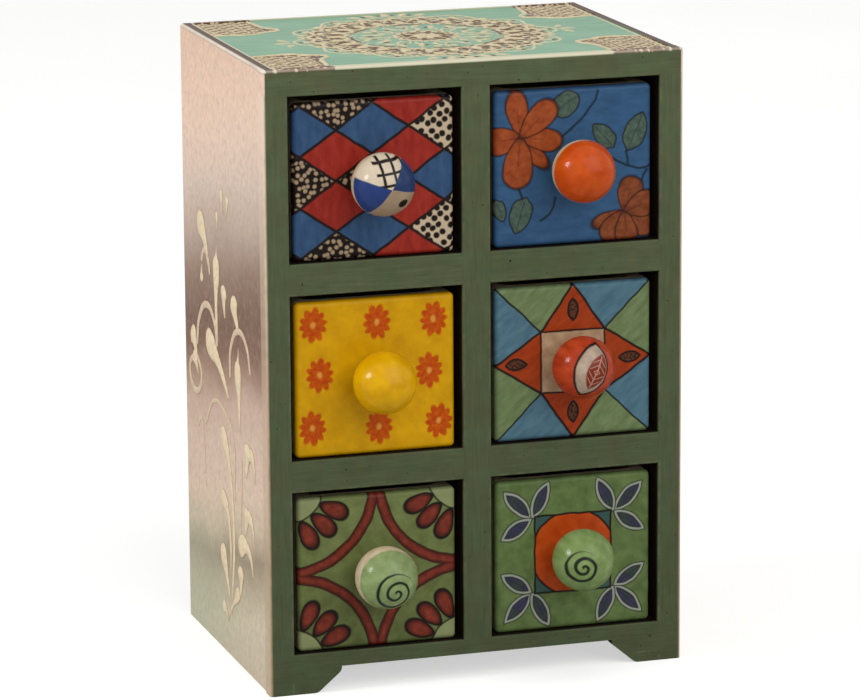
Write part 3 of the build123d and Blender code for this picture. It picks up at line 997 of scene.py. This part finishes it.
# Vines on the sides: half width, then how far back from the front edge and how high
VINE_DROPS = (
    (4.2, ((93, 158), (89, 155), (83, 149), (79, 141))),
    (2.2, ((88, 133), (89, 137), (88, 140))),
    (3.6, ((68, 147), (68, 140), (69, 130), (68, 114))),
    (1.5, ((68, 144), (67, 152))),
    (4.4, ((57, 138), (58, 133), (57, 126))),
    (4.2, ((45, 137), (43, 131), (38, 124))),
    (4.3, ((105, 113), (101, 109), (97, 102))),
    (3.2, ((103, 104), (99, 101), (96, 97))),
    (4.3, ((84, 114), (74, 111), (63, 105), (53, 97))),
    (3.4, ((40, 114), (40, 108), (39, 101), (39, 88))),
    (1.4, ((40, 112), (39, 119))),
    (3.2, ((64, 84), (56, 76), (51, 64), (49, 43), (54, 16))),
    (4.2, ((27, 86), (29, 80), (31, 73))),
    (2.2, ((26, 84), (21, 81), (18, 73))),
    (2.8, ((66, 59), (58, 55), (54, 46), (54, 30))),
    (4.0, ((30, 62), (31, 57), (33, 51))),
    (2.2, ((30, 60), (24, 57), (20, 48))),
    (3.4, ((66, 40), (61, 32), (55, 21))),
    (3.4, ((42, 43), (35, 47), (27, 45), (23, 38))),
    (3.6, ((40, 38), (40, 33), (41, 26))),
    (2.2, ((42, 28), (48, 23), (54, 18), (58, 13))),
    (2.2, ((66, 17), (62, 16), (58, 12))),
    (2.2, ((88, 60), (87, 56))),
    (1.8, ((60, 173), (59, 169), (58, 164))),
    (1.6, ((51, 172), (52, 167), (54, 162))),
    (1.4, ((66, 164), (66, 160), (67, 155))),
)
VINE_LINES = (
    (1.2, ((77, 138), (79, 143), (84, 146), (89, 141))),
    (1.4, ((97, 108), (93, 119), (82, 126), (72, 122), (68, 113))),
    (1.3, ((51, 105), (49, 117), (38, 125), (27, 121), (23, 112))),
    (1.3, ((99, 104), (108, 97), (100, 90), (91, 97), (97, 104))),
    (0.9, ((87, 80), (73, 92), (57, 90), (48, 84), (47, 60))),
    (0.9, ((97, 77), (93, 81), (90, 76), (88, 61))),
    (0.8, ((36, 78), (38, 60), (40, 44))),
)
DROP_WIDENING = 1.28
HEAD_SHARE = 0.36
DROP_FLATTEN, LINE_FLATTEN = 0.1, 0.25
VINE_STEP = 0.7


def plump(half, points):
    """A drop's stroke, made wider as far as its length allows."""
    length = sum((Vector(end) - Vector(start)).length for start, end in zip(points, points[1:]))
    return min(DROP_WIDENING * half, HEAD_SHARE * length), points


def side_vines(drop_paint, line_paint):
    drops = [plump(*stroke) for stroke in VINE_DROPS]
    kinds = (
        ("drops", drops, DROP, DROP_FLATTEN, drop_paint),
        ("lines", VINE_LINES, CORD, LINE_FLATTEN, line_paint),
    )
    for side, sign in SIDES.items():
        seat = (sign * SIDE_FACE_X * MM, 0, 0)
        for kind, strokes, tree, flat, paint in kinds:
            laid = [(half, [(0, FRONT_Y + back, up) for back, up in row]) for half, row in strokes]
            raised(
                f"{side}_vine_{kind}", laid, tree, "side_paint",
                copies=1, flatten=(flat, 1, 1), move_to=seat, step=VINE_STEP * MM, paint=paint,
            )


def spoke(half_width, turn, *reaches):
    """A straight stroke out from the middle of the top."""
    return half_width, [(reach, turn) for reach in reaches]


def scallop(half_width, reach, half_turn, bulge):
    """An arc to both sides of direction 0, bulging outward."""
    return half_width, ((reach, -half_turn), (reach + bulge, 0), (reach, half_turn))


def mirrored(axis, stroke):
    """A stroke and its mirror image across a direction."""
    half_width, points = stroke
    return stroke, (half_width, [(reach, 2 * axis - turn) for reach, turn in points])


# Rings of the round ornament: name, shape, copies, paint, and the strokes of one copy,
# whose points are a distance and a direction from the middle of the top
MEDALLION_RINGS = (
    ("heart", PETAL, 8, "cream", spoke(1.5, 0, 0.6, 3.4, 6.4)),
    ("heart_leaves", PETAL, 8, "brown", spoke(1.1, 22.5, 4.0, 6.0, 8.6)),
    ("heart_edge", CORD, 16, "cream", scallop(0.7, 9.6, 11.25, 2.2)),
    ("heart_beads", PETAL, 16, "brown", spoke(0.9, 0, 9.4, 10.2, 11.0)),
    (
        *("tendrils", DROP, 8, "cream"),
        *mirrored(22.5, (1.2, ((24.5, 10), (21.0, 3), (17.0, 8), (13.2, 0)))),
    ),
    (
        *("tendril_leaves", PETAL, 16, "cream"),
        (0.9, ((15.0, 12), (16.6, 16), (18.6, 17))),
        (0.8, ((20.6, -2), (22.0, 2), (24.4, 2))),
    ),
    ("tendril_seeds", PETAL, 16, "brown", (0.8, ((18.6, 5), (20.0, 6), (21.6, 5)))),
    ("sprigs", PETAL, 8, "cream", spoke(1.1, 22.5, 16.0, 19.0, 23.5)),
    ("inner_ring", CORD, 8, "brown", scallop(0.6, 27.2, 13.0, 0.0)),
    ("inner_scallops", CORD, 24, "cream", scallop(0.8, 28.2, 7.5, 2.4)),
    ("band_petals", PETAL, 24, "cream", spoke(1.8, 0, 29.8, 32.6, 36.4)),
    (
        *("band_leaves", PETAL, 24, "brown"),
        spoke(1.1, 7.5, 30.0, 32.2, 35.0),
        (0.9, ((35.8, 3.2), (37.4, 4.4), (39.2, 4.0))),
        (0.8, ((33.4, -3.4), (35.0, -4.2), (37.0, -3.8))),
    ),
    ("band_curls", DROP, 24, "cream", (1.3, ((39.2, 1), (38.6, 5), (36.4, 7.5), (34.4, 9.5)))),
    ("band_edge", CORD, 24, "cream", scallop(0.8, 40.4, 7.5, 2.2)),
    ("edge_beads", PETAL, 24, "brown", spoke(1.1, 0, 39.2, 40.4, 41.6)),
    ("points", PETAL, 24, "cream", spoke(1.3, 0, 42.8, 44.4, 46.8)),
    ("outer_lobes", CORD, 12, "cream", scallop(0.55, 44.0, 14, 5.2)),
    ("outer_seeds", PETAL, 12, "brown", spoke(0.9, 0, 45.4, 46.6, 48.2)),
    (
        *("edge_sprays", PETAL, 2, "cream"),
        spoke(1.6, 90, 48.0, 51.0, 55.0),
        *mirrored(90, (1.5, ((48.0, 84), (50.6, 83), (54.0, 81)))),
        *mirrored(90, (1.4, ((48.0, 78), (50.0, 76), (52.6, 73)))),
    ),
    (
        *("edge_seeds", PETAL, 2, "brown"),
        *mirrored(90, spoke(0.9, 87, 49.0, 50.4, 52.2)),
        *mirrored(90, (0.9, ((49.0, 80.5), (50.2, 80), (51.8, 79)))),
    ),
    (
        *("end_sprays", PETAL, 2, "cream"),
        spoke(1.4, 0, 50.0, 53.0, 57.0),
        *mirrored(0, (1.2, ((50.4, 4), (52.4, 6), (54.4, 9)))),
    ),
)
RING_FLATTEN, CORNER_FLATTEN = 0.2, 0.4
RING_STEP, CORNER_STEP = 0.7, 0.9

# The stepped edge of a corner piece, in from the end and in from the front or rear edge
CORNER_EDGE = (
    (0.5, 28.5),
    (8.0, 29.8),
    (15.5, 30.2),
    (20.5, 26.8),
    (26.5, 23.5),
    (22.8, 15.0),
    (21.8, 7.0),
    (21.0, 0.5),
)
CORNER_EDGE_HALF, LATTICE_HALF = 0.9, 0.34
LATTICE_STEP, LATTICE_INSET = 5.0, 2.0


def corner_lattice():
    """Crossing slanted lines that fill a corner piece, in from the end and in from the edge."""
    wide, deep = CORNER_REACH_X - LATTICE_INSET, CORNER_REACH_Y - LATTICE_INSET
    for count in range(1, int((wide + deep) / LATTICE_STEP) + 1):
        total = count * LATTICE_STEP
        yield ((max(0, total - deep), min(deep, total)), (min(wide, total), max(0, total - wide)))
        lead = total - deep
        yield ((max(0, lead), max(0, -lead)), (min(wide, deep + lead), min(deep, wide - lead)))


def corner_strokes():
    """Cream lines of the four corner pieces: a stepped edge, and a lattice inside it."""
    strokes = [(CORNER_EDGE_HALF, CORNER_EDGE)]
    strokes += [(LATTICE_HALF, ends) for ends in corner_lattice()]
    for side in SIDES.values():
        for end in (-1, 1):
            for half, row in strokes:
                yield half, [(side * (TOP_END_X - x), end * (TOP_END_Y - y)) for x, y in row]


def top_ornament(cream_paint, brown_paint):
    paints = {"cream": cream_paint, "brown": brown_paint}
    middle = tuple(Vector((0, TOP_MIDDLE_Y, CHEST_HEIGHT - FIELD_SINK)) * MM)
    for name, tree, copies, colour, *strokes in MEDALLION_RINGS:
        laid = [(half, [polar(*point) for point in points]) for half, points in strokes]
        raised(
            f"medallion_{name}", laid, tree, "top_paint", copies=copies, move_to=middle,
            flatten=(1, 1, RING_FLATTEN), step=RING_STEP * MM, paint=paints[colour],
        )
    raised(
        "top_corners", corner_strokes(), CORD, "top_paint", copies=1, move_to=middle,
        flatten=(1, 1, CORNER_FLATTEN), step=CORNER_STEP * MM, paint=cream_paint,
    )


# Filler between the front strips

CORNER_ROUND = 1.2
CORNER_STEPS = 5
EDGE_EASE = 0.45
FILLER_PROUD = 0.02


def corner_outline(side):
    """The rounded outer corner of the front strips, seen from above."""
    inner_x = HALF_WIDTH - CORNER_ROUND
    turns = [90 * step / CORNER_STEPS - 90 for step in range(CORNER_STEPS + 1)]
    bend = [polar(CORNER_ROUND, turn, inner_x, FRONT_Y + CORNER_ROUND) for turn in turns]
    outline = (*bend, (HALF_WIDTH, STRIP_REAR_Y), (inner_x, STRIP_REAR_Y))
    return [(side * x, y) for x, y in outline]


def add_prism(shape, outline, low, high):
    """An upright prism between two heights."""
    ends = [[shape.verts.new(Vector((x, y, z)) * MM) for x, y in outline] for z in (low, high)]
    for end in ends:
        shape.faces.new(end)
    under, over = ends
    for i, corner in enumerate(under):
        shape.faces.new((under[i - 1], corner, over[i], over[i - 1]))


def filler_spans():
    """The joints on the front: from one place across to another, and from one height to another."""
    for level in ("upper", "lower"):
        low, high = box_mm(f"{level}_left_rail")
        upright = (low.z + EDGE_EASE, high.z - EDGE_EASE)
        for side in SIDES.values():
            yield (side * OPENING_OUTER_X, side * (OPENING_OUTER_X + EDGE_EASE), *upright)
            yield (side * OPENING_INNER_X, side * (OPENING_INNER_X - EDGE_EASE), *upright)
    for low, high in ((TOP_UNDER_Z, TOP_UNDER_Z + EDGE_EASE), (SILL_Z - EDGE_EASE, SILL_Z)):
        yield (EDGE_EASE - OPENING_INNER_X, OPENING_INNER_X - EDGE_EASE, low, high)
        for side in SIDES.values():
            outer_x = side * (HALF_WIDTH - CORNER_ROUND)
            yield (side * (OPENING_OUTER_X + EDGE_EASE), outer_x, low, high)


def joint_filler(paint):
    """Filler in the eased corners where one front strip meets another, so that no joint shows."""
    shape = bmesh.new()
    front, rear = FRONT_Y - FILLER_PROUD, FRONT_Y + EDGE_EASE
    for x0, x1, low, high in filler_spans():
        add_prism(shape, ((x0, front), (x1, front), (x1, rear), (x0, rear)), low, high)
    for side in SIDES.values():
        outline = corner_outline(side)
        add_prism(shape, outline, TOP_UNDER_Z, TOP_UNDER_Z + CORNER_ROUND)
        add_prism(shape, outline, SILL_Z - CORNER_ROUND, SILL_Z)
    bmesh.ops.recalc_face_normals(shape, faces=shape.faces)
    mesh = bpy.data.meshes.new("joint_filler")
    shape.to_mesh(mesh)
    shape.free()
    mesh.materials.append(paint)
    add_to_cabinet("joint_filler", mesh)


# Camera, floor and light

CAMERA_PLACE = (-506.4, -1604.3, 491.0)
CAMERA_TURN = (77.26, 0.364, -17.519)
CAMERA_LENS = 198.4
CAMERA_SENSOR = 36.0
FLOOR_HALF_METRES = 6.0
FLOOR_GLOW = 0.57
FLOOR_PATCH = 400.0
AMBIENT = 0.5
# Lamps: name, direction from the chest, distance and size in metres, and power in watts
LAMPS = (
    ("window_light", (-0.88, -0.06, 0.47), 1.8, 0.42, 14.5),
    ("front_light", (0.3, -0.75, 0.62), 2.6, 2.6, 39.0),
)


def camera():
    data = bpy.data.cameras.new("camera")
    data.lens = CAMERA_LENS
    data.sensor_width = CAMERA_SENSOR
    seen = add_object("camera", data)
    seen.location = Vector(CAMERA_PLACE) * MM
    seen.rotation_euler = Euler([radians(turn) for turn in CAMERA_TURN])
    bpy.context.scene.camera = seen


def lamp(name, towards, distance, size, power):
    """A square soft lamp that looks at the middle of the chest from a direction."""
    data = bpy.data.lights.new(name, "AREA")
    data.size = size
    data.energy = power
    obj = add_object(name, data)
    aim = Vector((0, 0, CHEST_HEIGHT * MM / 2))
    obj.location = aim + Vector(towards).normalized() * distance
    obj.rotation_euler = (aim - obj.location).to_track_quat("-Z", "Y").to_euler()


def floor():
    """A pale floor that keeps the shadow and looks white in the open."""
    finish = Finish("pale_floor", roughness=0.8)
    patch = finish.spot.noise(FLOOR_PATCH)
    finish.done(patch.mottled(ink(196, 196, 194), ink(204, 204, 202)))
    seen = finish.node("LightPath", output="Is Camera Ray")
    glow = finish.node("Emission", named={"Strength": seen * FLOOR_GLOW})
    both = Wire(finish, finish.surface.outputs[0]).node("AddShader", glow)
    finish.feed(finish.tree.nodes["Material Output"].inputs["Surface"], both)
    mesh = bpy.data.meshes.new("floor")
    signs = ((-1, -1), (1, -1), (1, 1), (-1, 1))
    corners = [(x * FLOOR_HALF_METRES, y * FLOOR_HALF_METRES, 0) for x, y in signs]
    mesh.from_pydata(corners, [], [(0, 1, 2, 3)])
    mesh.materials.append(finish.material)
    obj = add_object("floor", mesh)


def room_light():
    """Even light from all round, white where it is seen or mirrored."""
    world = bpy.data.worlds.new("room_light")
    bpy.context.scene.world = world
    world.use_nodes = True
    nodes = Nodes(world.node_tree)
    background = world.node_tree.nodes["Background"].inputs
    background["Color"].default_value = (1, 1, 1, 1)
    strength = AMBIENT
    for ray in ("Is Camera Ray", "Is Glossy Ray", "Is Transmission Ray"):
        strength = nodes.node("LightPath", output=ray).most(strength)
    nodes.feed(background["Strength"], strength)


# Dressing the chest

ORANGE_KNOB = plain_knob(ink(180, 62, 8), ink(200, 84, 22))
YELLOW_KNOB = plain_knob(ink(200, 146, 0), ink(220, 168, 6))
LOW_SPIRAL_KNOB = spiral_knob(ink(116, 134, 84), ink(142, 160, 108), 0.5, -3.3, 6.8, 2.1, 0.5)
SIDE_SPIRAL_KNOB = spiral_knob(ink(104, 128, 70), ink(132, 152, 96), -3.4, -0.2, 5.3, 1.9, 0.58)
# Designs: name, drawing of the face and of the knob, and how far back from the knob's middle its
# pale glaze begins, in radii
DRAWER_DESIGNS = {
    "upper_left": ("harlequin", harlequin, harlequin_knob, -0.1),
    "upper_right": ("floral_blue", floral_blue, ORANGE_KNOB, -0.03),
    "middle_left": ("flowered_yellow", flowered_yellow, YELLOW_KNOB, 0.55),
    "middle_right": ("star", star, leaf_knob, 0.55),
    "lower_left": ("arched_green", arched_green, LOW_SPIRAL_KNOB, -0.28),
    "lower_right": ("leafy_green", leafy_green, SIDE_SPIRAL_KNOB, 0.55),
}
SHELVES = ("upper_left", "upper_right", "lower_left", "lower_right")


def coat_nodes(material, *nodes):
    for node in nodes:
        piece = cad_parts[node]
        piece.data.materials.clear()
        piece.data.materials.append(material)


def dress_drawers(steel_finish):
    for unit, (design, draw, draw_knob, pale_from) in DRAWER_DESIGNS.items():
        coat_nodes(glaze(unit, f"{design}_glaze", draw), f"{unit}_drawer")
        knob_finish = knob_glaze(unit, f"{design}_knob_glaze", draw_knob, pale_from)
        coat_nodes(knob_finish, f"{unit}_knob")
        fixings = ("knob_stud", "knob_washer", "knob_nut")
        coat_nodes(steel_finish, *(f"{unit}_{fixing}" for fixing in fixings))


def dress_carcass(steel_finish):
    upright = front_paint("front_paint_upright", "z")
    level = front_paint("front_paint_level", "x")
    upright_wood = stained_wood("stained_wood_upright", "z")
    level_wood = stained_wood("stained_wood_level", "x")
    coat_nodes(top_paint("top_paint"), "top_board")
    coat_nodes(side_paint("side_paint"), "left_side_board", "right_side_board")
    coat_nodes(upright, "left_stile", "right_stile", "centre_stile")
    coat_nodes(level, "bottom_rail", "left_foot", "right_foot")
    coat_nodes(level, *(f"{shelf}_rail" for shelf in SHELVES))
    coat_nodes(upright_wood, "centre_divider", "back_board")
    coat_nodes(level_wood, "bottom_board", *(f"{shelf}_shelf" for shelf in SHELVES))
    coat_nodes(steel_finish, "back_brads")
    joint_filler(upright)


steel_finish = steel("steel")
dress_drawers(steel_finish)
dress_carcass(steel_finish)
cream_paint = raised_paint("raised_cream", ink(190, 176, 138), ink(222, 206, 168))
brown_paint = raised_paint("raised_brown", ink(84, 58, 42), ink(122, 90, 64))
# Inks of the vines: the darker edge, antiquing wash and painted shade of the relief, then dark and
# light paint
DROP_EDGE_SHADE_AND_INKS = (ink(168, 138, 108), ink(216, 194, 158), ink(238, 220, 188))
LINE_EDGE_SHADE_AND_INKS = (ink(158, 130, 108), ink(200, 176, 150), ink(222, 200, 172))
drop_paint = vine_paint("vine_drops", *DROP_EDGE_SHADE_AND_INKS, relief=1.5)
line_paint = vine_paint("vine_lines", *LINE_EDGE_SHADE_AND_INKS, relief=0.4)
side_vines(drop_paint, line_paint)
top_ornament(cream_paint, brown_paint)

camera()
floor()
room_light()
for settings in LAMPS:
    lamp(*settings)
bpy.context.scene.view_settings.view_transform = "Standard"
